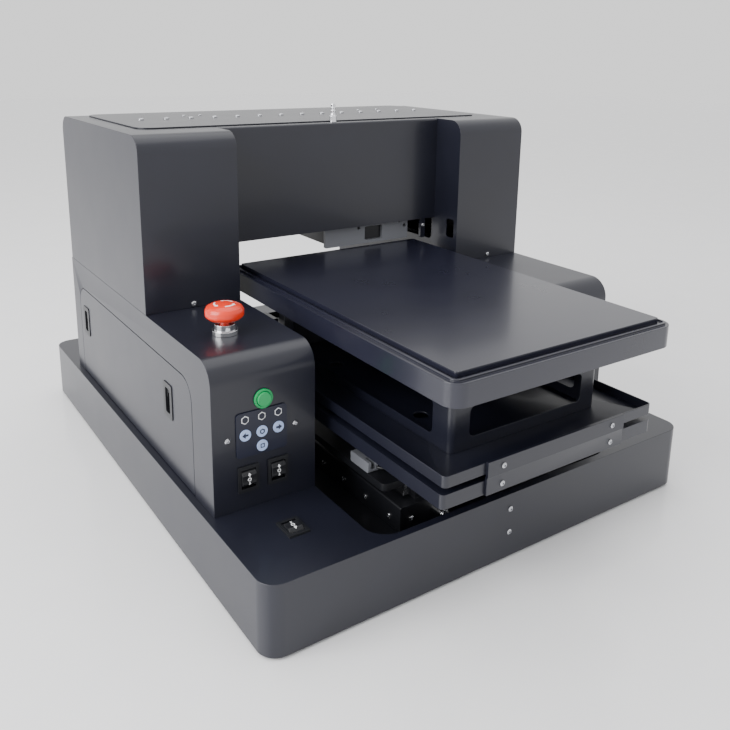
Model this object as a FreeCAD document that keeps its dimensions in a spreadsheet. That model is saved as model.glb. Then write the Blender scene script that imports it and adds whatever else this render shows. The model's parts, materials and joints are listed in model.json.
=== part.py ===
import FreeCAD, Part
import os
import re

import Sketcher

# Flatbed UV printer, millimetres.  X runs left to right, Y front to back, Z up.
# The origin lies on the floor, under the middle of the overall footprint.

os.makedirs("parts", exist_ok=True)
doc = FreeCAD.newDocument("flatbed_uv_printer")

SIZES = {
    # base case
    "base_half": 289, "base_front": -319.5, "base_back": 389.5, "base_low": 3, "deck_top": 78,
    "deck_thick": 3, "sheet": 2, "base_corner": 20,
    # well for the table drive
    "well_half": 166, "well_front": -311, "well_back": 345, "well_floor": 40, "well_corner": 25,
    # side cabinets
    "side_outer": 281, "side_inner": 166, "cabinet_front": -194.8, "cabinet_back": 283,
    "cabinet_top": 238.4, "cabinet_bend": 25,
    "panel_front": -147, "panel_back": 254, "panel_top": 205, "panel_corner": 25, "panel_gap": 0.8,
    "latch_low": 140, "latch_high": 180, "latch_half": 12, "latch_rear_at": 225, "latch_front_at": -81,
    # bridge
    "housing_front": -22, "housing_back": 280, "bridge_top": 436, "housing_bend": 20,
    "plate_front": 28.4, "plate_low": 295, "cover_half": 255, "cover_front": 45, "cover_back": 258,
    "cover_thick": 1.6, "cover_corner": 18, "cover_screw_pitch": 33.3, "cover_screw_at": 150,
    "fitting_x": -1, "fitting_y": 38,
    # print axis
    "beam_front": 190, "beam_back": 230, "beam_low": 320, "beam_high": 380,
    "belt_height": 405, "motor_pulley_x": -244, "idler_x": 255, "pulley_radius": 8,
    "belt_thick": 1.5, "carriage_left": -11, "carriage_right": 127, "carriage_front": 40,
    "carriage_low": 267.5, "carriage_back": 166, "carriage_high": 372,
    # front controls on the left cabinet
    "rocker_half": 11.3, "rocker_tall": 14, "rocker_mid": 111.4, "rocker_left_x": -243.8,
    "rocker_right_x": -210.7, "rocker_radius": 10, "deck_rocker_x": -223.9, "deck_rocker_y": -250.5,
    "button_x": -225.8, "button_z": 193, "button_radius": 7.5,
    "keypad_left": -256, "keypad_right": -200, "keypad_low": 135, "keypad_high": 182.5,
    "keypad_thick": 1.6, "key_radius": 6, "estop_x": -230.5, "estop_y": -119.5, "estop_radius": 20.3,
    # table drive
    "module_inner": 56, "module_outer": 108, "module_top": 70, "module_front": -269, "module_back": 335,
    "rail_mid": 78, "rail_half": 6, "rail_top": 80, "rail_front": -262, "rail_back": 330,
    "stage_low": 90, "stage_high": 98, "stage_half": 125, "stage_front": -262, "stage_back": -72,
    "y_screw_x": 34, "y_screw_z": 61, "y_screw_radius": 5, "lift_y": -167, "lift_screw_radius": 4,
    "post_x": 70, "post_front": -250, "post_back": -84, "post_radius": 6,
    # lifting stack and table
    "lower_half": 144, "lower_front": -375, "stack_back": 40, "lower_low": 134.7, "lower_high": 149.1,
    "tray_half": 142.5, "tray_front": -375.6, "tray_low": 155.5, "tray_high": 167.2,
    "riser_half": 101, "riser_front": -333.7, "riser_back": -5, "table_low": 236,
    "table_half": 148.5, "table_front": -389.5, "table_back": 50.6, "frame_top": 259,
    "bed_inset": 12.2, "bed_top": 264.7, "rim": 16,
    "run": 0.05,
}

sheet = doc.addObject("Spreadsheet::Sheet", "Sizes")
for row, (alias, value) in enumerate(SIZES.items(), start=1):
    sheet.set("A%d" % row, alias)
    sheet.set("B%d" % row, str(value))
    sheet.setAlias("B%d" % row, alias)
doc.recompute()

NODES = []
BEZELS = []
CASE_SCREWS = []
TURN = {
    "z": FreeCAD.Rotation(),
    "x": FreeCAD.Rotation(FreeCAD.Vector(1, 1, 1), 120),
    "y": FreeCAD.Rotation(FreeCAD.Vector(1, 1, 1), 240),
}


# ---------------------------------------------------------------- helpers

def bound(text):
    """Point every size name in an expression at the sheet."""
    def swap(match):
        word = match.group(0)
        return "Sizes." + word if word in SIZES else word
    return re.sub(r"[a-z][a-z_]*", swap, str(text))


def bind(thing, prop, text):
    thing.setExpression(prop, bound(text))


def seat(thing, x, y, z, along="z"):
    """Bind the position of a solid and turn its own Z to the wanted axis."""
    thing.Placement = FreeCAD.Placement(FreeCAD.Vector(), TURN[along])
    bind(thing, ".Placement.Base.x", x)
    bind(thing, ".Placement.Base.y", y)
    bind(thing, ".Placement.Base.z", z)
    return thing


def span(pair):
    return "(%s) - (%s)" % (pair[1], pair[0])


def block(name, x, y, z):
    solid = doc.addObject("Part::Box", name)
    bind(solid, "Length", span(x))
    bind(solid, "Width", span(y))
    bind(solid, "Height", span(z))
    return seat(solid, x[0], y[0], z[0])


def rod(name, radius, along, x, y, z):
    """Cylinder along one axis; that axis is given as a (low, high) pair."""
    solid = doc.addObject("Part::Cylinder", name)
    run = {"x": x, "y": y, "z": z}[along]
    bind(solid, "Radius", radius)
    bind(solid, "Height", span(run))
    low = [v[0] if isinstance(v, tuple) else v for v in (x, y, z)]
    return seat(solid, low[0], low[1], low[2], along)


def cut(name, base, *tools):
    solid = doc.addObject("Part::Cut", name)
    solid.Base = base
    solid.Tool = tools[0] if len(tools) == 1 else fuse(name + "_tools", *tools)
    return solid


def fuse(name, *solids):
    merged = doc.addObject("Part::MultiFuse", name)
    merged.Shapes = list(solids)
    return merged


def group(name, *solids):
    bundle = doc.addObject("Part::Compound", name)
    bundle.Links = list(solids)
    return bundle


def keep(solid, node):
    solid.Label = node
    NODES.append(solid)
    return solid


def plane(body, role):
    return next(f for f in body.Origin.OriginFeatures if f.Role == role)


def outline(body, name, u, v, left=None, low=None, lift=None):
    """Rectangle sketch on the body's own XY plane, its corner on or off the origin."""
    sketch = body.newObject("Sketcher::SketchObject", name)
    sketch.AttachmentSupport = [(plane(body, "XY_Plane"), "")]
    sketch.MapMode = "FlatFace"
    if lift is not None:
        bind(sketch, ".AttachmentOffset.Base.z", lift)
    corners = [(1, 1), (9, 1), (9, 9), (1, 9)]
    for i in range(4):
        start = FreeCAD.Vector(*corners[i], 0)
        end = FreeCAD.Vector(*corners[(i + 1) % 4], 0)
        sketch.addGeometry(Part.LineSegment(start, end), False)
    for i in range(4):
        sketch.addConstraint(Sketcher.Constraint("Coincident", i, 2, (i + 1) % 4, 1))
    for i in (0, 2):
        sketch.addConstraint(Sketcher.Constraint("Horizontal", i))
    for i in (1, 3):
        sketch.addConstraint(Sketcher.Constraint("Vertical", i))
    sizes = [("DistanceX", (0, 1, 0, 2), u), ("DistanceY", (1, 1, 1, 2), v)]
    if left is None:
        sketch.addConstraint(Sketcher.Constraint("Coincident", 0, 1, -1, 1))
    else:
        sizes.append(("DistanceX", (-1, 1, 0, 1), left))
        sizes.append(("DistanceY", (-1, 1, 0, 1), low))
    for kind, points, text in sizes:
        index = sketch.addConstraint(Sketcher.Constraint(kind, *points, 5.0))
        bind(sketch, "Constraints[%d]" % index, text)
    return sketch


def round_edges(body, name, radius, wanted):
    doc.recompute()
    picked = []
    for i, edge in enumerate(body.Shape.Edges, start=1):
        if wanted(edge):
            picked.append("Edge%d" % i)
    fillet = body.newObject("PartDesign::Fillet", name)
    fillet.Base = (body.Tip if body.Tip != fillet else fillet.BaseFeature, picked)
    bind(fillet, "Radius", radius)
    return fillet


def runs(edge, along):
    """True for a straight edge parallel to the named axis."""
    if edge.Curve.TypeId != "Part::GeomLine":
        return False
    direction = edge.Vertexes[1].Point - edge.Vertexes[0].Point
    direction.normalize()
    return abs(direction["xyz".index(along)]) > 0.999


def prism(name, x, y, z, along="z", radius=None, wanted=None):
    """Padded rectangle, with the edges along its run rounded where wanted."""
    body = doc.addObject("PartDesign::Body", name)
    pairs = {"x": (y, z, x), "y": (z, x, y), "z": (x, y, z)}[along]
    sketch = outline(body, name + "_outline", span(pairs[0]), span(pairs[1]))
    pad = body.newObject("PartDesign::Pad", name + "_pad")
    pad.Profile = sketch
    bind(pad, "Length", span(pairs[2]))
    seat(body, x[0], y[0], z[0], along)
    if radius is not None:
        doc.recompute()
        box = body.Shape.BoundBox

        def chosen(edge):
            return runs(edge, along) and (wanted is None or wanted(edge.CenterOfMass, box))
        round_edges(body, name + "_bend", radius, chosen)
    return body


def front_top(point, box):
    return abs(point.y - box.YMin) < 0.01 and abs(point.z - box.ZMax) < 0.01


def back_top(point, box):
    return abs(point.y - box.YMax) < 0.01 and abs(point.z - box.ZMax) < 0.01


def top_edges(point, box):
    return abs(point.z - box.ZMax) < 0.01


def dish(name, x, y, z, wall, floor, radius, opens="top"):
    """Folded tray: a pad with a pocket that leaves a floor and four walls, corners then rounded."""
    body = prism(name, x, y, z, "z")
    lift = floor if opens == "top" else None
    sketch = outline(body, name + "_hollow", "%s - 2 * (%s)" % (span(x), wall),
                     "%s - 2 * (%s)" % (span(y), wall), wall, wall, lift)
    pocket = body.newObject("PartDesign::Pocket", name + "_pocket")
    pocket.Profile = sketch
    pocket.Reversed = True
    bind(pocket, "Length", "%s - (%s)" % (span(z), floor))
    doc.recompute()
    box = body.Shape.BoundBox

    def depth(edge):
        point = edge.CenterOfMass
        return min(point.x - box.XMin, box.XMax - point.x, point.y - box.YMin, box.YMax - point.y)
    round_edges(body, name + "_inner_bend", "%s - (%s)" % (radius, wall),
                lambda edge: runs(edge, "z") and depth(edge) > 0.2)
    round_edges(body, name + "_outer_bend", radius, lambda edge: runs(edge, "z") and depth(edge) < 0.01)
    return body


def hood(name, x, y, z, bend, wanted, wall="sheet"):
    """Folded cover open underneath, bent along its long top edges."""
    outer = prism(name + "_outer", x, y, z, "x", bend, wanted)
    inner = prism(name + "_inner", (x[0] + " + " + wall, x[1] + " - " + wall),
                  (y[0] + " + " + wall, y[1] + " - " + wall), (z[0] + " - 1", z[1] + " - " + wall),
                  "x", bend + " - " + wall, wanted)
    return cut(name + "_sheet", outer, inner)


def turned(name, x, y, z, profile, along="z"):
    """Body of revolution from (radius, height) corners, standing along one axis."""
    body = doc.addObject("PartDesign::Body", name)
    sketch = body.newObject("Sketcher::SketchObject", name + "_profile")
    sketch.AttachmentSupport = [(plane(body, "XZ_Plane"), "")]
    sketch.MapMode = "FlatFace"
    count = len(profile)
    for i in range(count):
        start = FreeCAD.Vector(profile[i][0], profile[i][1], 0)
        end = FreeCAD.Vector(profile[(i + 1) % count][0], profile[(i + 1) % count][1], 0)
        sketch.addGeometry(Part.LineSegment(start, end), False)
    for i in range(count):
        sketch.addConstraint(Sketcher.Constraint("Coincident", i, 2, (i + 1) % count, 1))
    for i, (radius, height) in enumerate(profile):
        if radius == 0:
            sketch.addConstraint(Sketcher.Constraint("PointOnObject", i, 1, -2))
        else:
            sketch.addConstraint(Sketcher.Constraint("DistanceX", -1, 1, i, 1, radius))
        if height == 0:
            sketch.addConstraint(Sketcher.Constraint("PointOnObject", i, 1, -1))
        else:
            sketch.addConstraint(Sketcher.Constraint("DistanceY", -1, 1, i, 1, height))
    spun = body.newObject("PartDesign::Revolution", name + "_spin")
    spun.Profile = sketch
    spun.ReferenceAxis = (sketch, ["V_Axis"])
    spun.Angle = 360
    return seat(body, x, y, z, along)


def screws(node, spots, radius, height, along, outward=1):
    """Button-head screws with a hexagon socket, one solid each."""
    made = []
    for i, (x, y, z) in enumerate(spots):
        name = "%s_%d" % (node, i)
        face = {"x": x, "y": y, "z": z}[along]
        far = "%s + %s" % (face, outward * height)
        low, high = (face, far) if outward > 0 else (far, face)
        deep = "%s + %s" % (face, outward * height * 0.35)
        tip = "%s + %s" % (face, outward * (height + 1))
        socket_low = deep if outward > 0 else tip
        head_at = {"x": x, "y": y, "z": z}
        sock_at = dict(head_at)
        head_at[along] = (low, high)
        head = rod(name + "_head", radius, along, head_at["x"], head_at["y"], head_at["z"])
        doc.recompute()
        softened = doc.addObject("Part::Chamfer", name + "_dome")
        softened.Base = head
        centre = head.Shape.CenterOfMass["xyz".index(along)]
        rim = [k for k, edge in enumerate(head.Shape.Edges, start=1)
               if edge.Closed and (edge.CenterOfMass["xyz".index(along)] - centre) * outward > 0.01]
        softened.Edges = [(rim[0], height * 0.45, height * 0.6)]
        socket = doc.addObject("Part::Prism", name + "_socket")
        socket.Polygon = 6
        bind(socket, "Circumradius", "%s * 0.48" % radius)
        bind(socket, "Height", str(height * 0.65 + 1))
        sock_at[along] = socket_low
        seat(socket, sock_at["x"], sock_at["y"], sock_at["z"], along)
        made.append(cut(name, softened, socket))
    return made


# ---------------------------------------------------------------- base case

def base_case():
    shell = dish("base_shell_body", ("-base_half", "base_half"), ("base_front", "base_back"),
                 ("base_low", "deck_top"), "sheet", "deck_thick", "base_corner", "bottom")
    well = prism("well_opening", ("-well_half", "well_half"), ("well_front", "well_back"),
                 ("deck_top - 10", "deck_top + 2"), "z", "well_corner")
    inlet = block("inlet_opening", ("159.9", "188.1"), ("base_back - 10", "base_back + 5"), ("25.9", "46.1"))
    rocker = block("deck_rocker_opening", ("deck_rocker_x - 9.5", "deck_rocker_x + 9.5"),
                   ("deck_rocker_y - 12.1", "deck_rocker_y + 12.1"), ("deck_top - 10", "deck_top + 2"))
    keep(cut("base_shell_cut", shell, well, inlet, rocker), "base_shell")

    plate = prism("base_floor_body", ("-base_half + sheet + 0.1", "base_half - sheet - 0.1"),
                  ("base_front + sheet + 0.1", "base_back - sheet - 0.1"),
                  ("base_low", "base_low + sheet"), "z", "base_corner - sheet - 0.1")
    studs = []
    holes = []
    for i, (x, y) in enumerate([("-240", "-270"), ("240", "-270"), ("-240", "340"), ("240", "340")]):
        holes.append(rod("foot_hole_%d" % i, "4", "z", x, y, ("base_low - 1", "base_low + 4")))
        pad = rod("foot_pad_%d" % i, "14", "z", x, y, ("0", "base_low"))
        stud = rod("foot_stud_%d" % i, "3.95", "z", x, y, ("base_low - 0.5", "base_low + 4"))
        studs.append(fuse("foot_%d" % i, pad, stud))
    keep(cut("base_floor_cut", plate, *holes), "base_floor")
    keep(group("feet", *studs), "rubber_feet")

    keep(dish("well_body", ("-well_half - sheet", "well_half + sheet"),
              ("well_front - sheet", "well_back + sheet"), ("well_floor - sheet", "deck_top - deck_thick"),
              "sheet", "sheet", "well_corner + sheet"), "drive_well")

    plug = block("inlet_plug", ("160", "188"), ("base_back - 28", "base_back - 0.2"), ("26", "46"))
    flange = block("inlet_flange", ("150", "198"), ("base_back - sheet - 3", "base_back - sheet"),
                   ("22", "50"))
    mouth = block("inlet_mouth", ("163", "185"), ("base_back - 18", "base_back + 1"), ("29", "43"))
    pins = [block("inlet_pin_%d" % i, ("%s" % x, "%s + 2" % x), ("base_back - 19", "base_back - 4"),
                  (z, z + " + 4")) for i, (x, z) in enumerate([("166", "32"), ("180", "32"), ("173", "37")])]
    socket = cut("inlet_cup", fuse("inlet_solid", plug, flange), mouth)
    keep(fuse("inlet_whole", socket, *pins), "power_inlet")
    CASE_SCREWS.extend(screws("base_front_screws", [("-1.3", "base_front", "60.5"), ("-1.3", "base_front", "33.4")],
           3.1, 2.0, "y", -1))


# ---------------------------------------------------------------- side cabinets

def cabinets():
    skin = hood("left_cabinet_hood", ("-side_outer", "-side_inner"), ("cabinet_front", "cabinet_back"),
                ("deck_top", "cabinet_top"), "cabinet_bend", front_top)
    doorway = prism("left_doorway", ("-side_outer - 1", "-side_outer + sheet + 0.5"),
                    ("panel_front", "panel_back"), ("deck_top - 1", "panel_top"), "x",
                    "panel_corner", top_edges)
    ledge = prism("left_ledge", ("-side_outer + sheet - 0.2", "-side_outer + sheet + 1.5"),
                  ("panel_front - 9", "panel_back + 9"), ("deck_top", "panel_top + 9"), "x",
                  "panel_corner + 9", top_edges)
    ledge_hole = prism("left_ledge_hole", ("-side_outer", "-side_outer + sheet + 3"),
                       ("panel_front + 8", "panel_back - 8"), ("deck_top - 1", "panel_top - 8"), "x",
                       "panel_corner - 8", top_edges)
    front = []
    for i, x in enumerate(("rocker_left_x", "rocker_right_x")):
        front.append(block("rocker_opening_%d" % i, (x + " - 9.5", x + " + 9.5"),
                           ("cabinet_front - 2", "cabinet_front + 5"),
                           ("rocker_mid - 12.1", "rocker_mid + 12.1")))
    front.append(rod("button_opening", "9", "y", "button_x", ("cabinet_front - 2", "cabinet_front + 5"),
                     "button_z"))
    front.append(rod("estop_opening", "8", "z", "estop_x", "estop_y", ("cabinet_top - 5", "cabinet_top + 2")))
    opened = cut("left_cabinet_open", skin, doorway, *front)
    ring = cut("left_ledge_ring", ledge, ledge_hole)
    trimmed = cut("left_ledge_trim", ring, prism("left_ledge_door", ("-side_outer - 1", "-side_outer + sheet"),
                                                 ("panel_front", "panel_back"),
                                                 ("deck_top - 1", "panel_top"), "x",
                                                 "panel_corner", top_edges))
    keep(fuse("left_cabinet_whole", opened, trimmed), "left_cabinet")

    right = hood("right_cabinet_hood", ("side_inner", "side_outer"), ("cabinet_front", "cabinet_back"),
                 ("deck_top", "cabinet_top"), "cabinet_bend", front_top)
    keep(right, "right_cabinet")


def access_panel():
    leaf = prism("panel_leaf", ("-side_outer", "-side_outer + sheet"),
                 ("panel_front + panel_gap", "panel_back - panel_gap"),
                 ("deck_top + panel_gap", "panel_top - panel_gap"), "x",
                 "panel_corner - panel_gap", top_edges)
    windows = []
    frames = []
    for i, at in enumerate(("latch_rear_at", "latch_front_at")):
        windows.append(block("latch_window_%d" % i, ("-side_outer - 1", "-side_outer + 5"),
                             (at + " - latch_half + 1.9", at + " + latch_half - 1.9"),
                             ("latch_low + 1.9", "latch_high - 1.9")))
        lip = prism("latch_lip_%d" % i, ("-side_outer - 1", "-side_outer"),
                    (at + " - latch_half", at + " + latch_half"), ("latch_low", "latch_high"), "x", "3")
        cup = block("latch_cup_%d" % i, ("-side_outer - 0.2", "-side_outer + 11"),
                    (at + " - latch_half + 2", at + " + latch_half - 2"),
                    ("latch_low + 2", "latch_high - 2"))
        slot = prism("latch_slot_%d" % i, ("-side_outer - 2", "-side_outer + 9"),
                     (at + " - 6", at + " + 6"), ("latch_low + 6", "latch_high - 6"), "x", "2")
        frames.append(cut("latch_frame_%d" % i, fuse("latch_solid_%d" % i, lip, cup), slot))
        pull = prism("latch_pull_%d" % i, ("-side_outer + 1", "-side_outer + 8.9"),
                     (at + " - 5.7", at + " + 5.7"), ("latch_high - 18", "latch_high - 6.3"), "x", "1.5")
        scoop = rod("latch_scoop_%d" % i, "5", "y", "-side_outer + 2", (at + " - 4", at + " + 4"),
                    "latch_high - 17")
        keep(cut("latch_slider_%d" % i, pull, scoop), ("rear_latch", "front_latch")[i])
    keep(cut("access_panel_leaf", leaf, *windows), "access_panel")
    keep(group("latch_frames_set", *frames), "latch_frames")


# ---------------------------------------------------------------- controls

def rocker(node, x, y, z, face):
    """Bezel and rocker; face is the axis pointing out of the panel ('y' front, 'z' deck)."""
    def place(name, half_x, out, half_up, tool=block):
        if face == "y":
            depth = ("%s - (%s)" % (y, out[1]), "%s - (%s)" % (y, out[0]))
            return tool(name, (x + " - " + half_x, x + " + " + half_x), depth,
                        (z + " - " + half_up, z + " + " + half_up))
        depth = ("%s + (%s)" % (z, out[0]), "%s + (%s)" % (z, out[1]))
        return tool(name, (x + " - " + half_x, x + " + " + half_x),
                    (y + " - " + half_up, y + " + " + half_up), depth)

    def across(name, radius, half, out):
        run = (x + " - " + half, x + " + " + half)
        if face == "y":
            return rod(name, radius, "x", run, "%s - (%s)" % (y, out), z)
        return rod(name, radius, "x", run, y, "%s + (%s)" % (z, out))
    flange = place(node + "_flange", "rocker_half", ("0", "2.4"), "rocker_tall")
    sleeve = place(node + "_sleeve", "9.4", ("-16", "0.2"), "12")
    hollow = place(node + "_hollow", "8", ("-14", "4"), "10.3")
    pins = across(node + "_pin_bore", "1.5 + run", "8.9", "-4.5")
    BEZELS.append(cut(node + "_bezel_cut", fuse(node + "_bezel_solid", flange, sleeve), hollow, pins))
    drum = across(node + "_drum", "rocker_radius", "7.7", "-4.5")
    window = place(node + "_window", "9", ("-9", "6"), "10.2")
    dip = across(node + "_dip", "30", "9", "34")
    pivot = across(node + "_pivot", "1.5", "8.8", "-4.5")
    clipped = doc.addObject("Part::Common", node + "_clipped")
    clipped.Base = drum
    clipped.Tool = window
    keep(fuse(node + "_whole", cut(node + "_dished", clipped, dip), pivot), node)


def controls():
    rocker("lift_rocker", "rocker_left_x", "cabinet_front", "rocker_mid", "y")
    rocker("table_rocker", "rocker_right_x", "cabinet_front", "rocker_mid", "y")
    rocker("deck_rocker", "deck_rocker_x", "deck_rocker_y", "deck_top", "z")
    keep(group("bezels", *BEZELS), "rocker_bezels")

    ring = rod("button_ring", "10.2", "y", "button_x", ("cabinet_front - 2.4", "cabinet_front"), "button_z")
    barrel = rod("button_barrel", "8.9", "y", "button_x", ("cabinet_front - 0.2", "cabinet_front + 14"),
                 "button_z")
    bore = rod("button_bore", "button_radius + 0.3", "y", "button_x",
               ("cabinet_front - 4", "cabinet_front + 12"), "button_z")
    keep(cut("button_bezel_cut", fuse("button_bezel_solid", ring, barrel), bore), "start_button_bezel")
    cap = rod("button_cap", "button_radius", "y", "button_x", ("cabinet_front - 4.6", "cabinet_front + 6"),
              "button_z")
    keep(cap, "start_button")

    sheet_pad = prism("keypad_sheet", ("keypad_left", "keypad_right"),
                      ("cabinet_front - keypad_thick", "cabinet_front"), ("keypad_low", "keypad_high"),
                      "y", "4")
    holes = []
    for i, (x, z) in enumerate([("-246.4", "158.8"), ("-228.1", "158.8"), ("-209.8", "158.8"),
                                ("-228.1", "143.4")]):
        holes.append(rod("key_hole_%d" % i, "key_radius + 0.3", "y", x,
                         ("cabinet_front - 5", "cabinet_front + 1"), z))
        cap = rod("key_cap_%d" % i, "key_radius", "y", x, ("cabinet_front - 2.4", "cabinet_front - 0.8"), z)
        keep(cap, ("left_key", "home_key", "right_key", "stop_key")[i])
    lenses = []
    for i, x in enumerate(("-246.4", "-228.1", "-209.8")):
        holes.append(rod("led_hole_%d" % i, "3.2", "y", x, ("cabinet_front - 5", "cabinet_front + 1"), "175"))
        lenses.append(rod("led_lens_%d" % i, "3.1", "y", x, ("cabinet_front - 2.1", "cabinet_front"), "175"))
    keep(group("keypad_set", cut("keypad_cut", sheet_pad, *holes), *lenses), "keypad_overlay")
    CASE_SCREWS.extend(screws("keypad_screws", [("-265", "cabinet_front", "157"), ("-190", "cabinet_front", "157")],
           3.1, 2.0, "y", -1))

    skirt = rod("estop_skirt", "14", "z", "estop_x", "estop_y", ("cabinet_top", "cabinet_top + 5"))
    neck = rod("estop_neck", "11.5", "z", "estop_x", "estop_y", ("cabinet_top + 4", "cabinet_top + 11.5"))
    tail = rod("estop_tail", "7.9", "z", "estop_x", "estop_y", ("cabinet_top - 14", "cabinet_top + 1"))
    passage = rod("estop_passage", "5.3", "z", "estop_x", "estop_y", ("cabinet_top - 20", "cabinet_top + 20"))
    keep(cut("estop_collar_cut", fuse("estop_collar_solid", skirt, neck, tail), passage), "estop_collar")
    keep(turned("estop_head_body", "estop_x", "estop_y", "cabinet_top - 16",
                [(0, 0), (5, 0), (5, 32.6), (17, 32.6), (20.3, 36), (20.3, 42), (18.6, 45.4),
                 (14.5, 47.6), (8, 48.8), (0, 49.2)]), "estop_head")


# ---------------------------------------------------------------- bridge

def bridge():
    left = hood("left_housing_hood", ("-side_outer", "-side_inner"), ("housing_front", "housing_back"),
                ("cabinet_top", "bridge_top"), "housing_bend", top_edges)
    pass_left = prism("left_pass", ("-side_inner - 10", "-side_inner + 5"), ("168", "262"), ("300", "424"),
                      "x", "6")
    keep(cut("left_housing_cut", left, pass_left), "left_upper_housing")
    right = hood("right_housing_hood", ("side_inner", "side_outer"), ("housing_front", "housing_back"),
                 ("cabinet_top", "bridge_top"), "housing_bend", top_edges)
    pass_right = prism("right_pass", ("side_inner - 5", "side_inner + 10"), ("34", "262"), ("262", "424"),
                       "x", "6")
    peep = prism("right_peep", ("side_inner - 5", "side_inner + 10"), ("-15", "1"), ("272", "298"), "x", "3")
    keep(cut("right_housing_cut", right, pass_right, peep), "right_upper_housing")

    outer = prism("bridge_outer", ("-side_inner", "side_inner"), ("plate_front", "housing_back"),
                  ("plate_low", "bridge_top"), "x", "3", front_top)
    inner = prism("bridge_inner", ("-side_inner - 1", "side_inner + 1"),
                  ("plate_front + sheet", "housing_back - sheet"), ("plate_low - 1", "bridge_top - sheet"),
                  "x", "1", front_top)
    for folded, radius in ((outer, "housing_bend"), (inner, "housing_bend - sheet")):
        round_edges(folded, folded.Name + "_back_bend", radius,
                    lambda edge: runs(edge, "x") and back_top(edge.CenterOfMass, folded.Shape.BoundBox))
    guide = prism("guide_bracket_body", ("143", "151"), ("plate_front + sheet - 0.2", "plate_front + sheet + 4"),
                  ("267", "320"), "y", "2")
    keep(fuse("bridge_cover_whole", cut("bridge_cover_cut", outer, inner), guide), "bridge_cover")
    CASE_SCREWS.extend(screws("rear_screws", [(x, "housing_back", z) for x in ("-150", "150") for z in ("310", "405")],
           3.1, 2.0, "y", 1))
    keep(prism("top_cover_body", ("-cover_half", "cover_half"), ("cover_front", "cover_back"),
               ("bridge_top", "bridge_top + cover_thick"), "z", "cover_corner"), "top_cover")
    row = [("-216.45 + %d * cover_screw_pitch" % i, "cover_screw_at", "bridge_top + cover_thick")
           for i in range(14)]
    cover = screws("top_cover_screws", row, 3.6, 2.2, "z", 1)
    marks = [(x, "187", "bridge_top + cover_thick") for x in ("-145", "-122", "137", "171")]
    cover.extend(screws("top_rail_screws", marks, 2.4, 1.4, "z", 1))
    keep(group("cover_screws", *cover), "top_cover_screws")
    keep(turned("fitting_body", "fitting_x", "fitting_y", "bridge_top",
                [(0, 0), (4.8, 0), (4.8, 8), (3.2, 9), (2.6, 12), (3.4, 15), (2.6, 15.5), (3.4, 19),
                 (2.6, 19.5), (3.2, 22.5), (2.6, 24), (0, 24)]), "air_fitting")
    CASE_SCREWS.extend(screws("housing_screws", [("-224.5", "housing_front", "243.2"), ("226", "housing_front", "243.2")],
           3.1, 2.0, "y", -1))
    CASE_SCREWS.extend(screws("guide_bolt", [("147", "plate_front + sheet - 0.2", "285")], 3.1, 2.0, "y", -1))


# ---------------------------------------------------------------- print axis

def print_axis():
    beam = prism("beam_body", ("-side_outer + sheet", "side_outer - sheet"), ("beam_front", "beam_back"),
                 ("beam_low", "beam_high"), "x", "2")
    bore = prism("beam_bore", ("-side_outer", "side_outer"), ("beam_front + 6", "beam_back - 6"),
                 ("beam_low + 6", "beam_high - 6"), "x", "3")
    rail = block("x_rail_block", ("-270", "270"), ("beam_front - 8", "beam_front + 0.2"), ("346", "358"))

    body = block("x_motor_block", ("motor_pulley_x - 21", "motor_pulley_x + 21"), ("210", "248"),
                 ("belt_height - 21", "belt_height + 21"))
    shaft = rod("x_motor_shaft", "2.5", "y", "motor_pulley_x", ("195", "212"), "belt_height")
    plate = block("x_mount_plate", ("motor_pulley_x - 24", "motor_pulley_x + 24"), ("207", "210"),
                  ("beam_high", "belt_height + 24"))
    hole = rod("x_mount_hole", "11", "y", "motor_pulley_x", ("200", "215"), "belt_height")
    keep(fuse("x_motor_whole", body, shaft, cut("x_mount_cut", plate, hole)), "x_motor")
    arm = block("idler_arm", ("idler_x - 12", "idler_x + 12"), ("207", "210"),
                ("beam_high - 0.2", "belt_height + 12"))
    axle = rod("idler_axle", "2.5", "y", "idler_x", ("195", "208"), "belt_height")
    keep(fuse("beam_whole", cut("beam_cut", beam, bore), rail, arm, axle), "x_beam")
    for node, x in (("x_motor_pulley", "motor_pulley_x"), ("x_idler_pulley", "idler_x")):
        drum = rod(node + "_drum", "pulley_radius", "y", x, ("195.5", "204.5"), "belt_height")
        lips = [rod(node + "_lip_%d" % i, "pulley_radius + 2", "y", x, (low, low + " + 0.8"), "belt_height")
                for i, low in enumerate(("195", "204.2"))]
        bore = rod(node + "_bore", "2.5 + run", "y", x, ("190", "210"), "belt_height")
        keep(cut(node + "_cut", fuse(node + "_solid", drum, *lips), bore), node)

    def loop(name, radius, low, high):
        ends = [rod("%s_end_%d" % (name, i), radius, "y", x, (low, high), "belt_height")
                for i, x in enumerate(("motor_pulley_x", "idler_x"))]
        middle = block(name + "_middle", ("motor_pulley_x", "idler_x"), (low, high),
                       ("belt_height - (%s)" % radius, "belt_height + (%s)" % radius))
        return fuse(name, middle, *ends)
    keep(cut("x_belt_cut", loop("belt_outer", "pulley_radius + 0.1 + belt_thick", "196.3", "203.7"),
             loop("belt_inner", "pulley_radius + 0.1", "190", "210")), "x_belt")


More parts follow.
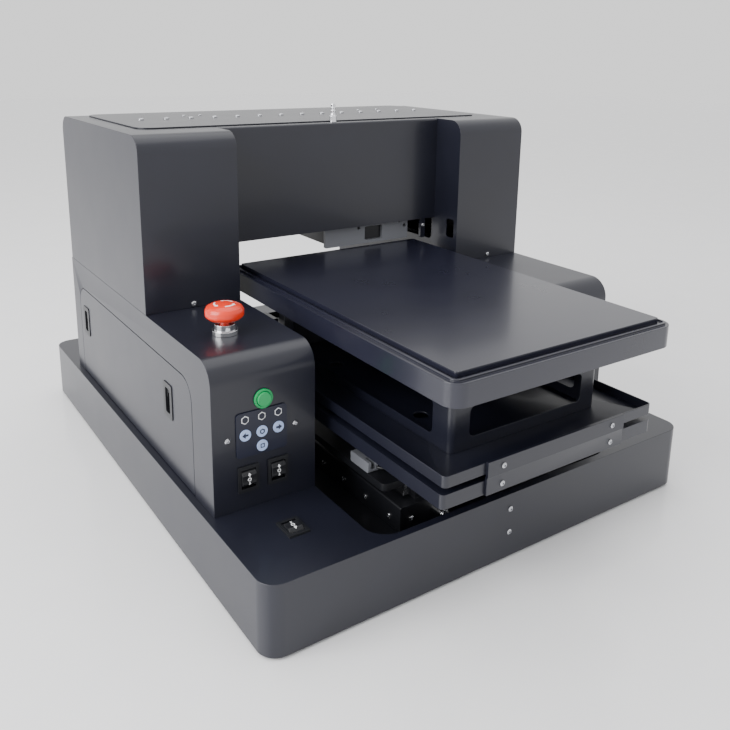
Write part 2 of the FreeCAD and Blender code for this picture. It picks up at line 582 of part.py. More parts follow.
def carriage():
    face = prism("carriage_face", ("carriage_left", "carriage_right"),
                 ("carriage_front", "carriage_front + 4"), ("carriage_low", "338"), "y", "2")
    notch = prism("carriage_notch", ("53", "82"), ("carriage_front - 1", "carriage_front + 5"),
                  ("272", "291"), "y", "2")
    holes = [rod("carriage_hole_%d" % i, "2.4", "y", x, ("carriage_front - 1", "carriage_front + 5"), z)
             for i, (x, z) in enumerate([("43", "290"), ("112", "293"), ("121", "286")])]
    keep(cut("carriage_face_cut", face, notch, *holes), "carriage_front_plate")
    tub = dish("carriage_tub", ("-8", "124"), ("carriage_front + 4", "carriage_back"),
               ("272", "carriage_high"), "sheet", "3", "4")
    head_gap = block("head_gap", ("29.9", "78.1"), ("59.9", "130.1"), ("260", "280"))
    lamp_gap = block("lamp_gap", ("83.9", "118.1"), ("55.9", "140.1"), ("260", "280"))
    shell = cut("carriage_tub_cut", tub, head_gap, lamp_gap)
    head = block("head_block", ("30", "78"), ("60", "130"), ("269.5", "305"))
    ears = block("head_ears", ("24", "80.5"), ("56", "134"), ("275", "278"))
    lamp = block("lamp_block", ("84", "118"), ("56", "140"), ("269.5", "300"))
    lamp_ears = block("lamp_ears", ("81.5", "121.5"), ("54", "142"), ("275", "278"))
    keep(fuse("lamp_whole", lamp, lamp_ears), "uv_lamp")
    dampers = [prism("damper_%d" % i, ("32 + %d * 15" % (i % 3), "44 + %d * 15" % (i % 3)),
                     ("%d" % (64 + 34 * (i // 3)), "%d" % (92 + 34 * (i // 3))), ("304.8", "333"), "z", "2")
               for i in range(6)]
    keep(fuse("head_whole", head, ears, *dampers), "print_head")
    blocks = []
    for i, x in enumerate(("16", "68")):
        shoe = block("x_shoe_%d" % i, (x, x + " + 34"), ("carriage_back", "beam_front - 1.5"), ("336", "368"))
        groove = block("x_shoe_groove_%d" % i, (x + " - 1", x + " + 35"),
                       ("beam_front - 8.1", "beam_front + 1"), ("345.9", "358.1"))
        blocks.append(cut("x_block_%d" % i, shoe, groove))
    keep(group("x_blocks", *blocks), "x_bearing_blocks")
    upright = block("clamp_upright", ("50", "66"), ("carriage_back - 1", "carriage_back + 4"), ("368.5", "390"))
    reach = block("clamp_reach", ("50", "66"), ("carriage_back", "204"), ("386", "395.3"))
    keep(fuse("carriage_whole", shell, upright, reach), "carriage_body")


def service_parts():
    tub = dish("capping_tub", ("178", "262"), ("50", "140"), ("cabinet_top", "cabinet_top + 22"),
               "3", "3", "5")
    pads = prism("capping_pad", ("180.9", "225"), ("64", "126"), ("cabinet_top + 2.9", "cabinet_top + 24"),
                 "z", "4")
    dip = prism("capping_dip", ("184", "222"), ("67", "123"), ("cabinet_top + 18", "cabinet_top + 26"),
                "z", "3")
    keep(fuse("capping_whole", tub, cut("capping_pad_cut", pads, dip)), "capping_station")
    tanks = []
    for i in range(6):
        low = "-180 + %d * 38" % i
        shape = prism("tank_%d" % i, ("192", "258"), (low, low + " + 32"), ("deck_top", "deck_top + 110"),
                      "z", "4")
        cap = rod("tank_cap_%d" % i, "10", "z", "225", low + " + 16", ("deck_top + 109", "deck_top + 122"))
        tanks.append(fuse("ink_tank_%d" % i, shape, cap))
    keep(group("tanks", *tanks), "ink_tanks")
    box = prism("supply_box", ("-262", "-182"), ("10", "200"), ("deck_top", "deck_top + 40"), "z", "2")
    board = block("board_sheet", ("-174", "-172.4"), ("10", "190"), ("128", "222"))
    chips = [block("chip_%d" % i, ("-174 - %d" % tall, "-173.9"), ("%d" % y, "%d" % (y + wide)),
                   ("%d" % z, "%d" % (z + high)))
             for i, (y, z, wide, high, tall) in enumerate([(30, 140, 24, 24, 3), (80, 150, 30, 30, 12),
                                                           (130, 140, 14, 40, 8), (40, 190, 60, 14, 10)])]
    pegs = [rod("peg_%d" % i, "3", "x", ("-172.6", "-168"), y, z)
            for i, (y, z) in enumerate([("16", "134"), ("184", "134"), ("16", "216"), ("184", "216")])]
    keep(group("electronics_set", box, fuse("board_whole", board, *chips, *pegs)), "control_electronics")


# ---------------------------------------------------------------- table drive

def table_drive():
    modules = []
    for i, side in enumerate(("-1", "1")):
        inner, outer = ("module_outer", "module_inner") if side == "-1" else ("module_inner", "module_outer")
        beam = prism("module_%d" % i, ("%s * %s" % (side, inner), "%s * %s" % (side, outer)),
                     ("module_front", "module_back"), ("well_floor", "module_top"), "y", "2")
        rail = block("y_rail_%d" % i, ("%s * rail_mid - rail_half" % side, "%s * rail_mid + rail_half" % side),
                     ("rail_front", "rail_back"), ("module_top - 0.2", "rail_top"))
        modules.append(fuse("y_rail_beam_%d" % i, beam, rail))
    spots = [("-module_outer", "%d" % y, "52") for y in (-250, -206, -162, -118, -74, -30)]
    CASE_SCREWS.extend(screws("y_beam_screws", spots, 3.1, 2.0, "x", -1))
    CASE_SCREWS.extend(screws("y_beam_end_screws", [("-94", "module_front", "54"), ("94", "module_front", "54")],
                              3.1, 2.0, "y", -1))
    keep(turned("drive_plug_body", "-62", "module_front - 20", "56",
                [(0, 0), (5, 0), (5, 3), (6.5, 3), (6.5, 20), (0, 20)], "y"), "drive_connector")

    shaft = rod("y_screw_rod", "y_screw_radius", "y", "y_screw_x", ("-266", "297"), "y_screw_z")
    coupler = rod("y_coupler_rod", "9", "y", "y_screw_x", ("291", "299"), "y_screw_z")
    keep(fuse("y_screw_whole", shaft, coupler), "y_screw")
    for i, (low, high) in enumerate([("-268", "-258"), ("278", "290")]):
        stand = block("y_stand_%d" % i, ("y_screw_x - 11", "y_screw_x + 11"), (low, high),
                      ("well_floor", "y_screw_z + 12"))
        bore = rod("y_stand_bore_%d" % i, "y_screw_radius + run", "y", "y_screw_x",
                   (low + " - 2", high + " + 2"), "y_screw_z")
        modules.append(cut("y_bearing_%d" % i, stand, bore))
    keep(group("modules", *modules), "y_drive_frame")
    keep(prism("y_motor_body", ("y_screw_x - 21", "y_screw_x + 21"), ("300", "340"),
               ("well_floor", "y_screw_z + 21"), "y", "3"), "y_motor")


def table_stage():
    plate = prism("stage_plate_body", ("-stage_half", "stage_half"), ("stage_front", "stage_back"),
                  ("stage_low", "stage_high"), "z", "6")
    hole = rod("stage_hole", "lift_screw_radius + 1.5", "z", "0", "lift_y", ("stage_low - 1", "stage_high + 1"))
    shoes = []
    for i, side in enumerate(("-1", "1")):
        for j, low in enumerate(("-255", "-130")):
            name = "y_shoe_%d_%d" % (i, j)
            mid = "%s * rail_mid" % side
            shoe = block(name + "_solid", (mid + " - 16", mid + " + 16"), (low, low + " + 50"),
                         ("module_top + 3", "stage_low"))
            groove = block(name + "_groove", (mid + " - rail_half - 0.1", mid + " + rail_half + 0.1"),
                           (low + " - 1", low + " + 51"), ("module_top", "rail_top + 0.1"))
            shoes.append(cut(name, shoe, groove))
    keep(group("y_shoes", *shoes), "y_bearing_blocks")
    nut = block("y_nut_block", ("y_screw_x - 10", "y_screw_x + 10"), ("lift_y - 15", "lift_y + 15"),
                ("y_screw_z - 10", "stage_low + 0.2"))
    bore = rod("y_nut_bore", "y_screw_radius + run", "y", "y_screw_x", ("lift_y - 20", "lift_y + 20"),
               "y_screw_z")
    keep(prism("lift_motor_body", ("-21", "21"), ("lift_y - 21", "lift_y + 21"), ("stage_low - 42", "stage_low"),
               "z", "3"), "lift_motor")
    keep(rod("lift_screw_rod", "lift_screw_radius", "z", "0", "lift_y", ("stage_low", "lower_high + 3")),
         "lift_screw")
    posts = [rod("post_%d_%d" % (i, j), "post_radius", "z", x, y, ("stage_high - 0.2", "lower_high + 1"))
             for i, x in enumerate(("-post_x", "post_x")) for j, y in enumerate(("post_front", "post_back"))]
    keep(fuse("stage_whole", cut("stage_plate_cut", plate, hole), cut("y_nut_cut", nut, bore), *posts),
         "stage_plate")
    sensor = prism("sensor_body", ("-stage_half", "-stage_half + 13"), ("-234", "-200"),
                   ("stage_high", "stage_high + 12"), "x", "2")
    slot = block("sensor_slot", ("-stage_half + 4", "-stage_half + 9"), ("-240", "-222"),
                 ("stage_high + 4", "stage_high + 13"))
    keep(cut("sensor_cut", sensor, slot), "limit_sensor")


# ---------------------------------------------------------------- lifting stack and table

def lift_openings(name, low, high, radius):
    tools = [rod("%s_%d_%d" % (name, i, j), radius, "z", x, y, (low, high))
             for i, x in enumerate(("-post_x", "post_x")) for j, y in enumerate(("post_front", "post_back"))]
    tools.append(rod(name + "_mid", "lift_screw_radius + 2", "z", "0", "lift_y", (low, high)))
    return tools


def lift_stack():
    lower = dish("lower_body", ("-lower_half", "lower_half"), ("lower_front", "stack_back"),
                 ("lower_low", "lower_high"), "sheet", "sheet", "5", "bottom")
    pierced = cut("lower_cut", lower, *lift_openings("lower_hole", "lower_low", "lower_high + 1",
                                                     "post_radius + 2"))
    bushes = []
    for i, x in enumerate(("-post_x", "post_x")):
        for j, y in enumerate(("post_front", "post_back")):
            name = "bush_%d_%d" % (i, j)
            collar = rod(name + "_collar", "post_radius + 4", "z", x, y,
                         ("lower_low - 4", "lower_high - sheet + 0.2"))
            bore = rod(name + "_bore", "post_radius + run", "z", x, y, ("lower_low - 8", "lower_high"))
            bushes.append(cut(name, collar, bore))
    nut = rod("lift_nut_rod", "12", "z", "0", "lift_y", ("lower_low - 4", "lower_high - sheet + 0.2"))
    bore = rod("lift_nut_bore", "lift_screw_radius + run", "z", "0", "lift_y", ("lower_low - 8", "lower_high"))
    bushes.append(cut("lift_nut_cut", nut, bore))
    pads = [rod("spacer_%d" % i, "8", "z", x, y, ("lower_high - 0.2", "tray_low"))
            for i, (x, y) in enumerate([("-122", "-350"), ("122", "-350"), ("-122", "10"), ("122", "10"),
                                        ("-122", "-170"), ("122", "-170")])]
    keep(fuse("lower_whole", pierced, *bushes, *pads), "lower_plate")
    tray = dish("tray_body", ("-tray_half", "tray_half"), ("tray_front", "stack_back"),
                ("tray_low", "tray_high"), "1.5", "sheet", "5")
    keep(cut("tray_cut", tray, *lift_openings("tray_hole", "tray_low - 1", "tray_high",
                                              "post_radius + 2")), "upper_tray")
    skirt = block("bracket_skirt", ("-94", "94"), ("lower_front - 3", "lower_front"), ("lower_low", "152.5"))
    brow = block("bracket_brow", ("-94", "94"), ("tray_front - 3.4", "tray_front"), ("152.5", "tray_high + 1.3"))
    keep(fuse("bracket_whole", skirt, brow), "front_bracket")
    heads = screws("bracket_upper", [(x, "tray_front - 3.4", "161") for x in ("-75", "75")], 2.8, 1.8, "y", -1)
    heads.extend(screws("bracket_lower", [(x, "lower_front - 3", "142.3") for x in ("-75", "75")],
                        2.8, 1.8, "y", -1))
    keep(group("bracket_screw_set", *heads), "bracket_screws")

    riser = dish("riser_body", ("-riser_half", "riser_half"), ("riser_front", "riser_back"),
                 ("tray_low + sheet", "table_low"), "sheet", "3", "6", "bottom")
    front = prism("riser_front_window", ("-77.5", "77.5"), ("riser_front - 5", "riser_front + 5"),
                  ("170", "201"), "y", "6")
    side = prism("riser_side_window", ("-riser_half - 5", "riser_half + 5"), ("riser_front + 28", "riser_back - 28"),
                 ("168", "204"), "x", "6")
    keep(cut("riser_cut", riser, front, side), "riser_box")

    frame = dish("frame_body", ("-table_half", "table_half"), ("table_front", "table_back"),
                 ("table_low", "frame_top"), "rim", "3", "rim + 1")
    ridge = prism("ridge_outer", ("-table_half + 5", "table_half - 5"), ("table_front + 5", "table_back - 5"),
                  ("frame_top - 0.5", "frame_top + 2"), "z", "8")
    ridge_gap = prism("ridge_inner", ("-table_half + 8", "table_half - 8"), ("table_front + 8", "table_back - 8"),
                      ("frame_top - 2", "frame_top + 4"), "z", "5")
    keep(fuse("frame_whole", frame, cut("ridge", ridge, ridge_gap)), "table_frame")
    keep(prism("bed_body", ("-table_half + bed_inset", "table_half - bed_inset"),
               ("table_front + bed_inset", "table_back - bed_inset"), ("frame_top", "bed_top"), "z", "3"),
         "table_plate")


# ---------------------------------------------------------------- build and write

base_case()
cabinets()
access_panel()
controls()
bridge()
print_axis()
carriage()
service_parts()
table_drive()
table_stage()
lift_stack()
keep(group("case_screw_set", *CASE_SCREWS), "case_screws")
doc.recompute()

for thing in doc.Objects:
    if "Invalid" in thing.State or "Error" in thing.State:
        raise RuntimeError("%s did not compute" % thing.Name)
for solid in NODES:
    if len(solid.Shape.Solids) == 0 or solid.Shape.isNull() or not solid.Shape.isValid():
        raise RuntimeError("%s has no valid shape" % solid.Label)
for solid in NODES:
    solid.Shape.exportStep("parts/%s.step" % solid.Label)
print("%d parts" % len(NODES))
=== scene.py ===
import json
import math

import bmesh
import bpy
from mathutils import Matrix, Vector


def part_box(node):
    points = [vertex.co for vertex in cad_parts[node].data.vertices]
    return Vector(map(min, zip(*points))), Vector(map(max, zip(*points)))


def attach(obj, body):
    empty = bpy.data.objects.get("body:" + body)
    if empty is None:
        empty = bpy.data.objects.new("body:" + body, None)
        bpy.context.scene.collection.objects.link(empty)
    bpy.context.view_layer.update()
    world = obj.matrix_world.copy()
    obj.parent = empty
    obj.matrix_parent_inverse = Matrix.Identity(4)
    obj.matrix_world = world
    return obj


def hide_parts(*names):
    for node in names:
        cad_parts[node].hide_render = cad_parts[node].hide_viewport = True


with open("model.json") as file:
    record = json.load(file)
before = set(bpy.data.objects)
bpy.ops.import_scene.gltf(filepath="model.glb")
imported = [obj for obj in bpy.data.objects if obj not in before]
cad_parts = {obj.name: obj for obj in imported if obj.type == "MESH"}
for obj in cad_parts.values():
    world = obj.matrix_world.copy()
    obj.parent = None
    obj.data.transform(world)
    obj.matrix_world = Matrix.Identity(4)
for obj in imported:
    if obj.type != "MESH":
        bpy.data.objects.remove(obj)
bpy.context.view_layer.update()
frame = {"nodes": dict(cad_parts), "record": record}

# Flatbed UV printer, metres.  X to the right, Y to the back, Z up, origin on the floor.

MM = 0.001
NODES = frame["nodes"]
RECORD = frame["record"]
BODY_OF = {node: body for body, nodes in RECORD["behaviour"]["bodies"].items() for node in nodes}
SLOT_OF = {part["node"]: part["material_slot"] for part in RECORD["subparts"]}


def middle(name):
    """Centre of a part's box at rest."""
    low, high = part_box(name)
    return (low + high) / 2


# ---------------------------------------------------------------- materials

DRIFT_PER_METRE = 14.0
GLOSS_SWING = (0.9, 1.12)
COAT_ROUGHNESS = 0.12


def linear(text):
    """sRGB hex to linear colour with alpha."""
    channels = [int(text[i:i + 2], 16) / 255 for i in (1, 3, 5)]
    out = [c / 12.92 if c <= 0.04045 else ((c + 0.055) / 1.055) ** 2.4 for c in channels]
    return (out[0], out[1], out[2], 1.0)


def node(tree, kind, links=(), **values):
    """Add one shader node, set its sockets by name and link other sockets into it."""
    made = tree.nodes.new(kind)
    for key, value in values.items():
        name = key.replace("_", " ")
        if name in made.inputs:
            made.inputs[name].default_value = value
        else:
            setattr(made, key, value)
    for source, target in links:
        tree.links.new(source, made.inputs[target])
    return made


def surface(name, dark, light, rough, grain_mm, bump_mm, metal=0.0, coat=0.0, stretch=(1, 1, 1)):
    """Finish with a slow tint and gloss drift and a fine grain whose size is in real millimetres."""
    mat = bpy.data.materials.new(name)
    mat.use_nodes = True
    tree = mat.node_tree
    tree.nodes.clear()
    out = node(tree, "ShaderNodeOutputMaterial")
    place = node(tree, "ShaderNodeTexCoord")
    scaled = node(tree, "ShaderNodeMapping", [(place.outputs["Object"], "Vector")], Scale=stretch)
    drift = node(tree, "ShaderNodeTexNoise", [(place.outputs["Object"], "Vector")],
                 Scale=DRIFT_PER_METRE, Detail=3.0, Roughness=0.55)
    grain = node(tree, "ShaderNodeTexNoise", [(scaled.outputs["Vector"], "Vector")],
                 Scale=1000.0 / grain_mm, Detail=2.0, Roughness=0.5)
    tint = node(tree, "ShaderNodeMix", [(drift.outputs["Fac"], "Factor")], data_type="RGBA")
    # sockets 6 and 7 are the two colours of a colour mix, and output 2 is its result
    tint.inputs[6].default_value = linear(dark)
    tint.inputs[7].default_value = linear(light)
    gloss = node(tree, "ShaderNodeMapRange", [(drift.outputs["Fac"], "Value")])
    gloss.inputs["To Min"].default_value = rough * GLOSS_SWING[0]
    gloss.inputs["To Max"].default_value = rough * GLOSS_SWING[1]
    bump = node(tree, "ShaderNodeBump", [(grain.outputs["Fac"], "Height")],
                Strength=0.6, Distance=bump_mm * MM)
    shader = node(tree, "ShaderNodeBsdfPrincipled",
                  [(tint.outputs[2], "Base Color"), (gloss.outputs["Result"], "Roughness"),
                   (bump.outputs["Normal"], "Normal")], Metallic=metal)
    shader.inputs["Coat Weight"].default_value = coat
    shader.inputs["Coat Roughness"].default_value = COAT_ROUGHNESS
    tree.links.new(shader.outputs["BSDF"], out.inputs["Surface"])
    return mat


# satin polyester powder coat on steel sheet: soft highlights broken by a fine orange peel
charcoal = surface("charcoal_powder", "#12131d", "#191b28",
                   rough=0.34, grain_mm=1.1, bump_mm=0.03, coat=0.15)
# lighter and duller powder coat, on the carriage plate
grey = surface("grey_powder", "#686a70", "#76787e",
               rough=0.42, grain_mm=1.1, bump_mm=0.03)
# hard anodised aluminium plate: smooth, with a ground grain drawn out along the bed
bed = surface("anodised_bed", "#171824", "#1f202e",
              rough=0.28, grain_mm=0.8, bump_mm=0.012, coat=0.3, stretch=(1, 0.12, 1))
# matt black coated steel of the inner frames: nearly no highlight
black_steel = surface("black_steel", "#0e0f13", "#14151a",
                      rough=0.42, grain_mm=0.9, bump_mm=0.03)
# ground steel of screws and shafts: bright, with slightly spread reflections
steel = surface("ground_steel", "#b4b5b9", "#c6c7cb",
                rough=0.24, grain_mm=0.6, bump_mm=0.008, metal=1.0)
# bright chrome plate: mirror reflections
chrome = surface("chrome_plate", "#d6d7da", "#e2e3e6",
                 rough=0.08, grain_mm=2.0, bump_mm=0.003, metal=1.0)
# clear anodised aluminium: soft metal sheen with the grain of the rolled bar along X
alloy = surface("clear_alloy", "#aeb0b4", "#bdbfc3",
                rough=0.36, grain_mm=0.5, bump_mm=0.012, metal=1.0, stretch=(0.1, 1, 1))
# moulded black plastic with a fine spark-eroded texture
black_plastic = surface("moulded_black", "#141519", "#1b1c20",
                        rough=0.38, grain_mm=0.7, bump_mm=0.03)
# printed polyester film of the keypad: dark blue, nearly flat
film = surface("keypad_film", "#070c1e", "#0c1330",
               rough=0.38, grain_mm=3.0, bump_mm=0.004, coat=0.1)
# moulded pale blue key caps
key_blue = surface("key_blue", "#a4b9e4", "#b3c6ee",
                   rough=0.35, grain_mm=2.0, bump_mm=0.006)
# moulded red stop cap: polished mould, clear highlight
red = surface("stop_red", "#dd2a0a", "#e63512",
              rough=0.28, grain_mm=2.2, bump_mm=0.005, coat=0.15)
# moulded green start cap
green = surface("start_green", "#00914c", "#04a35c",
                rough=0.34, grain_mm=2.2, bump_mm=0.005, coat=0.1)
# rubber of the feet and the belt: dull and slightly rough
rubber = surface("black_rubber", "#101012", "#18181a",
                 rough=0.7, grain_mm=0.6, bump_mm=0.05)
# natural polyethylene of the ink tanks: off-white and waxy
tank = surface("natural_tank", "#c9c7be", "#d6d4cb",
               rough=0.4, grain_mm=1.5, bump_mm=0.01)
# white printing ink of the signs and of the rings round the lamps
white_ink = surface("white_ink", "#e4e5e8", "#f0f1f3",
                    rough=0.4, grain_mm=0.8, bump_mm=0.004)
# dark blue printing ink of the signs on the keys
dark_ink = surface("dark_ink", "#0b1430", "#121c3c",
                   rough=0.4, grain_mm=0.8, bump_mm=0.004)

FINISH = {
    "charcoal_coat": charcoal, "grey_coat": grey, "table_coat": bed, "black_steel": black_steel,
    "bright_steel": steel, "chrome_trim": chrome, "alloy": alloy, "black_plastic": black_plastic,
    "keypad_film": film, "key_blue": key_blue, "button_green": green, "estop_red": red,
    "rubber_black": rubber, "tank_plastic": tank,
}


# ---------------------------------------------------------------- detailed pieces from the frame

EDGE_MM = {"keypad_overlay": 0.15, "case_screws": 0.15, "top_cover_screws": 0.15, "bracket_screws": 0.15,
           "left_key": 0.3, "home_key": 0.3, "right_key": 0.3, "stop_key": 0.3, "start_button": 0.8,
           "estop_head": 0.9, "table_plate": 0.5, "table_frame": 0.5, "x_belt": 0.15,
           "lift_rocker": 0.3, "table_rocker": 0.3, "deck_rocker": 0.3}
USUAL_EDGE_MM = 0.45
WELD_MM = 0.01
FLAT_WITHIN = math.radians(0.5)
SHADED_SHARP_FROM = math.radians(32)
ROUNDED_FROM = math.radians(35)


def piece_from(work, name, finish):
    """Turn a finished bmesh into a linked object with one material."""
    mesh = bpy.data.meshes.new(name)
    work.to_mesh(mesh)
    work.free()
    mesh.materials.append(finish)
    piece = bpy.data.objects.new(name, mesh)
    bpy.context.collection.objects.link(piece)
    return piece


def smooth(piece):
    """Shade every face smoothly."""
    for face in piece.data.polygons:
        face.use_smooth = True


def refine(name):
    """Copy of a part's mesh, welded, its flat faces merged, its edges softly rounded."""
    work = bmesh.new()
    work.from_mesh(NODES[name].data)
    bmesh.ops.remove_doubles(work, verts=work.verts, dist=WELD_MM * MM)
    bmesh.ops.dissolve_limit(work, angle_limit=FLAT_WITHIN, verts=work.verts, edges=work.edges)
    piece = piece_from(work, "fine_" + name, FINISH[SLOT_OF[name]])
    smooth(piece)
    piece.data.set_sharp_from_angle(angle=SHADED_SHARP_FROM)
    rounding = piece.modifiers.new("edge", "BEVEL")
    rounding.width = EDGE_MM.get(name, USUAL_EDGE_MM) * MM
    rounding.segments = 2
    rounding.limit_method = "ANGLE"
    rounding.angle_limit = ROUNDED_FROM
    rounding.use_clamp_overlap = True
    rounding.harden_normals = True
    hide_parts(name)
    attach(piece, BODY_OF[name])


for part in sorted(NODES):
    refine(part)


# ---------------------------------------------------------------- shapes of the printed signs
# Signs are drawn flat, in millimetres, on a plane whose two directions are the print's own.

def ring(flat, a, b, inner, outer, start=0, sweep=360, steps=28):
    """Ring or arc round (a, b), spun from its short edge; few steps give a polygon."""
    aim = Vector((math.cos(math.radians(start)), math.sin(math.radians(start)), 0))
    centre = Vector((a, b, 0))
    ends = [flat.verts.new(centre + aim * reach) for reach in (inner, outer)]
    edge = flat.edges.new(ends)
    bmesh.ops.spin(flat, geom=[*ends, edge], cent=centre, axis=(0, 0, 1), angle=math.radians(sweep),
                   steps=steps, use_merge=sweep == 360)


def arrow(flat, a, b, size, degrees):
    """Arrow head with a short stem, pointing up before it is turned by degrees."""
    head = [(-0.5, 0), (0.5, 0), (0, 0.62)]
    stem = [(-0.17, -0.5), (0.17, -0.5), (0.17, 0), (-0.17, 0)]
    place = Matrix.Translation((a, b, 0)) @ Matrix.Rotation(math.radians(degrees), 4, "Z")
    for outline in (head, stem):
        flat.faces.new([flat.verts.new(place @ Vector((u * size, v * size, 0))) for u, v in outline])


def stop_arrow(flat, start):
    """Curved arrow of the stop cap: an arc of 62 degrees and a tip 16 degrees long."""
    sweep = 62
    ring(flat, 0, 0, inner=9.6, outer=11.2, start=start, sweep=sweep, steps=12)
    base = math.radians(start + sweep)
    point = math.radians(start + sweep + 16)
    tip = [(8.4, base), (12.4, base), (10.4, point)]
    flat.faces.new([flat.verts.new((reach * math.cos(t), reach * math.sin(t), 0)) for reach, t in tip])


def mark(name, flat, at, out, thick_mm, body, finish):
    """Lay a flat sign on a surface by the function at(a, b) and raise it along out."""
    for vert in flat.verts:
        vert.co = at(vert.co.x * MM, vert.co.y * MM)
    bmesh.ops.remove_doubles(flat, verts=flat.verts, dist=0.001 * MM)
    raised = bmesh.ops.extrude_face_region(flat, geom=flat.faces[:])
    moved = [item for item in raised["geom"] if isinstance(item, bmesh.types.BMVert)]
    bmesh.ops.translate(flat, verts=moved, vec=Vector(out) * thick_mm * MM)
    bmesh.ops.recalc_face_normals(flat, faces=flat.faces)
    piece = piece_from(flat, name, finish)
    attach(piece, body)


TO_FRONT = (0, -1, 0)
TO_TOP = (0, 0, 1)


# ---------------------------------------------------------------- keypad

KEY_PRINT_GAP_MM = 0.02
KEY_PRINT_MM = 0.12
RING_PRINT_MM = 0.1
LAMP_RISE_MM = 0.5
LAMP_BELOW_EDGE_MM = 7.5


def key_sign(key, draw):
    """Dark sign printed on one round key; draw(flat, a, b) puts the shape at the key's middle."""
    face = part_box("home_key")[0].y - KEY_PRINT_GAP_MM * MM
    centre = middle(key) / MM
    flat = bmesh.new()
    draw(flat, centre.x, centre.z)
    mark(key + "_sign", flat, lambda a, b: (a, face, b), TO_FRONT, KEY_PRINT_MM,
         BODY_OF[key], dark_ink)


def lamp_rings():
    """Six-sided white rings round the three lamps, one above each key of the upper row."""
    film_low, film_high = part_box("keypad_overlay")
    film_face = film_low.y + LAMP_RISE_MM * MM
    height = film_high.z / MM - LAMP_BELOW_EDGE_MM
    flat = bmesh.new()
    for key in ("left_key", "home_key", "right_key"):
        ring(flat, middle(key).x / MM, height, inner=3.5, outer=4.5, start=30, steps=6)
    mark("lamp_rings", flat, lambda a, b: (a, film_face, b), TO_FRONT, RING_PRINT_MM,
         "base", white_ink)


key_sign("left_key", lambda flat, a, b: arrow(flat, a, b, size=6, degrees=90))
key_sign("home_key", lambda flat, a, b: ring(flat, a, b, inner=1.7, outer=3.0, start=30, steps=6))
key_sign("right_key", lambda flat, a, b: arrow(flat, a, b, size=6, degrees=-90))
key_sign("stop_key", lambda flat, a, b: ring(flat, a, b, inner=1.9, outer=3.2, start=45, steps=4))
lamp_rings()


# ---------------------------------------------------------------- rockers

ROCKER_PRINT_GAP_MM = 0.03
ROCKER_PRINT_MM = 0.15
DRUM_RADIUS_MM = 10
DRUM_AXIS_BEHIND_PANEL_MM = 4.5
DIP_RADIUS_MM = 30
DIP_CENTRE_OFF_PANEL_MM = 34


def rocker_height(along):
    """How far a sign stands off the panel, on a round drum with a shallow thumb dip."""
    drum = math.sqrt(DRUM_RADIUS_MM ** 2 - along ** 2) - DRUM_AXIS_BEHIND_PANEL_MM
    dip = DIP_CENTRE_OFF_PANEL_MM - math.sqrt(DIP_RADIUS_MM ** 2 - along ** 2)
    return (min(drum, dip) + ROCKER_PRINT_GAP_MM) * MM


def rocker_sign(name, at, out):
    """White ring between two arrows, along the rocker's long side."""
    flat = bmesh.new()
    ring(flat, 0, 0, inner=1.1, outer=2.0)
    arrow(flat, 0, 4.6, size=3.4, degrees=0)
    arrow(flat, 0, -4.6, size=3.4, degrees=180)
    mark(name + "_sign", flat, at, out, ROCKER_PRINT_MM, BODY_OF[name], white_ink)


def front_rocker_sign(name):
    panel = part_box("left_cabinet")[0].y
    centre = middle(name)
    rocker_sign(name, lambda a, b: (centre.x + a, panel - rocker_height(b / MM), centre.z + b), TO_FRONT)


def deck_rocker_sign(name):
    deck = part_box("base_shell")[1].z
    centre = middle(name)
    rocker_sign(name, lambda a, b: (centre.x + a, centre.y + b, deck + rocker_height(b / MM)), TO_TOP)


front_rocker_sign("lift_rocker")
front_rocker_sign("table_rocker")
deck_rocker_sign("deck_rocker")


# ---------------------------------------------------------------- stop button

ARROW_PRINT_MM = 0.15


def stop_arrows():
    """Three curved arrows on the cap, whose face falls evenly outwards from a radius of 8."""
    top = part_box("estop_head")[1].z
    centre = middle("estop_head")
    flat_radius, drop_there, fall_per_mm = 8, 0.4, 1.2 / 6.5

    def cap_face(a, b):
        past = math.hypot(a, b) / MM - flat_radius
        return (centre.x + a, centre.y + b, top - (drop_there + past * fall_per_mm) * MM)

    flat = bmesh.new()
    for start in (10, 130, 250):
        stop_arrow(flat, start)
    mark("stop_arrows", flat, cap_face, TO_TOP, ARROW_PRINT_MM, "estop_button", white_ink)


stop_arrows()


# ---------------------------------------------------------------- sensor lead

def tube(name, points, radius, finish, around=10):
    """Round lead: one ring of edges extruded from point to point, both ends closed."""
    places = []
    for i, point in enumerate(points):
        ahead = points[min(i + 1, len(points) - 1)] - points[max(i - 1, 0)]
        places.append(Matrix.Translation(point) @ ahead.to_track_quat("Z", "X").to_matrix().to_4x4())
    # a new circle starts a quarter turn round from the ring's own X
    start = places[0] @ Matrix.Rotation(-math.pi / 2, 4, "Z")
    work = bmesh.new()
    bmesh.ops.create_circle(work, cap_ends=True, segments=around, radius=radius, matrix=start)
    edges = work.edges[:]
    for before, after in zip(places, places[1:]):
        grown = bmesh.ops.extrude_edge_only(work, edges=edges)["geom"]
        verts = [item for item in grown if isinstance(item, bmesh.types.BMVert)]
        edges = [edge for edge in work.edges if all(vert in verts for vert in edge.verts)]
        bmesh.ops.transform(work, matrix=after @ before.inverted(), verts=verts)
    bmesh.ops.edgeloop_fill(work, edges=edges)
    bmesh.ops.recalc_face_normals(work, faces=work.faces)
    piece = piece_from(work, name, finish)
    smooth(piece)
    return piece


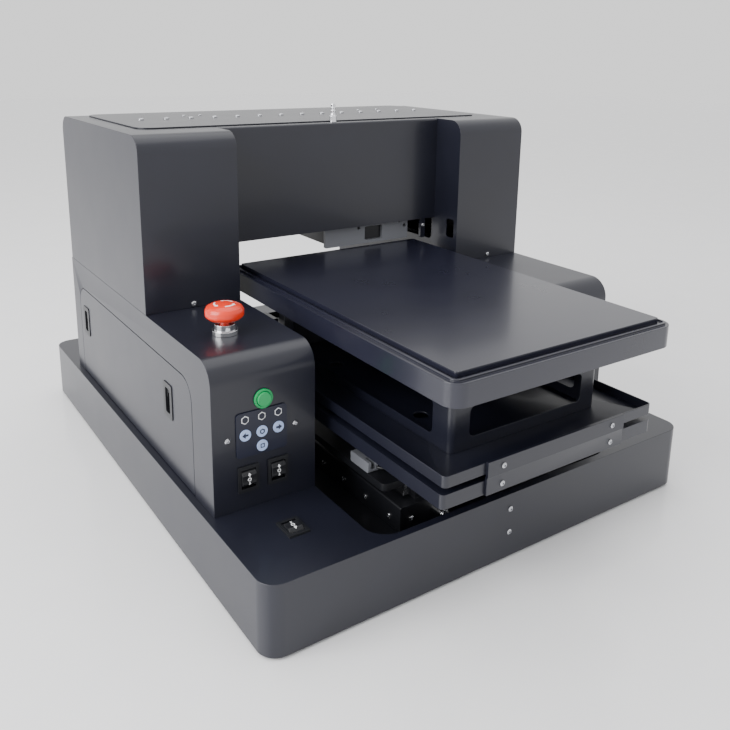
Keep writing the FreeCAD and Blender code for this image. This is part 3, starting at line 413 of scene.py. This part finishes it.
def sensor_lead():
    """Half loop of lead from the sensor's front corner, 22 wide and 12 deep; its far end is free."""
    low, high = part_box("limit_sensor")
    start = Vector((high.x - 2 * MM, low.y + 4 * MM, low.z + 4.5 * MM))
    half_width, depth, steps = 11 * MM, 12 * MM, 18
    turns = [math.pi * step / steps for step in range(steps + 1)]
    route = [start + Vector((half_width * (1 - math.cos(t)), -depth * math.sin(t), 0)) for t in turns]
    piece = tube("sensor_lead", route, 1.6 * MM, black_plastic)
    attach(piece, "y_stage")


sensor_lead()


# ---------------------------------------------------------------- studio

def studio_floor():
    work = bmesh.new()
    bmesh.ops.create_grid(work, x_segments=1, y_segments=1, size=8)
    pale = surface("pale_floor", "#f2f2f4", "#f7f7f8",
                   rough=0.16, grain_mm=40.0, bump_mm=0.0005)
    piece_from(work, "studio_floor", pale)


def white_world(strength):
    world = bpy.data.worlds.new("studio")
    bpy.context.scene.world = world
    world.use_nodes = True
    background = world.node_tree.nodes["Background"]
    background.inputs["Color"].default_value = (1.0, 1.0, 1.0, 1.0)
    background.inputs["Strength"].default_value = strength


def softbox(name, at, target, side, watts):
    """Square area light aimed at a point."""
    lamp = bpy.data.lights.new(name, "AREA")
    lamp.shape = "RECTANGLE"
    lamp.size = side
    lamp.size_y = side
    lamp.energy = watts
    box = bpy.data.objects.new(name, lamp)
    bpy.context.collection.objects.link(box)
    box.location = at
    box.rotation_euler = (Vector(target) - Vector(at)).to_track_quat("-Z", "Y").to_euler()


def view_camera(place, turned_right, tilted_down, rolled):
    """Camera at place, looking along Y until it is turned and tilted, all in degrees."""
    lens = bpy.data.cameras.new("view")
    lens.sensor_width = 36
    lens.lens = 39.57
    lens.shift_x = 0.001
    lens.shift_y = -0.1537
    camera = bpy.data.objects.new("view", lens)
    bpy.context.collection.objects.link(camera)
    aim = (Matrix.Rotation(math.radians(-turned_right), 4, "Z")
           @ Matrix.Rotation(math.radians(90 - tilted_down), 4, "X")
           @ Matrix.Rotation(math.radians(rolled), 4, "Z"))
    camera.matrix_world = Matrix.Translation(place) @ aim
    bpy.context.scene.camera = camera


studio_floor()
white_world(1.25)
softbox("left_softbox", (-2.4, -0.2, 1.3), (0, 0, 0.2), side=2.0, watts=95)
softbox("top_softbox", (0.2, 0.2, 2.4), (0, 0, 0.3), side=2.2, watts=20)
view_camera((-0.5574, -0.8544, 0.5267), turned_right=34.30, tilted_down=14.15, rolled=0.88)
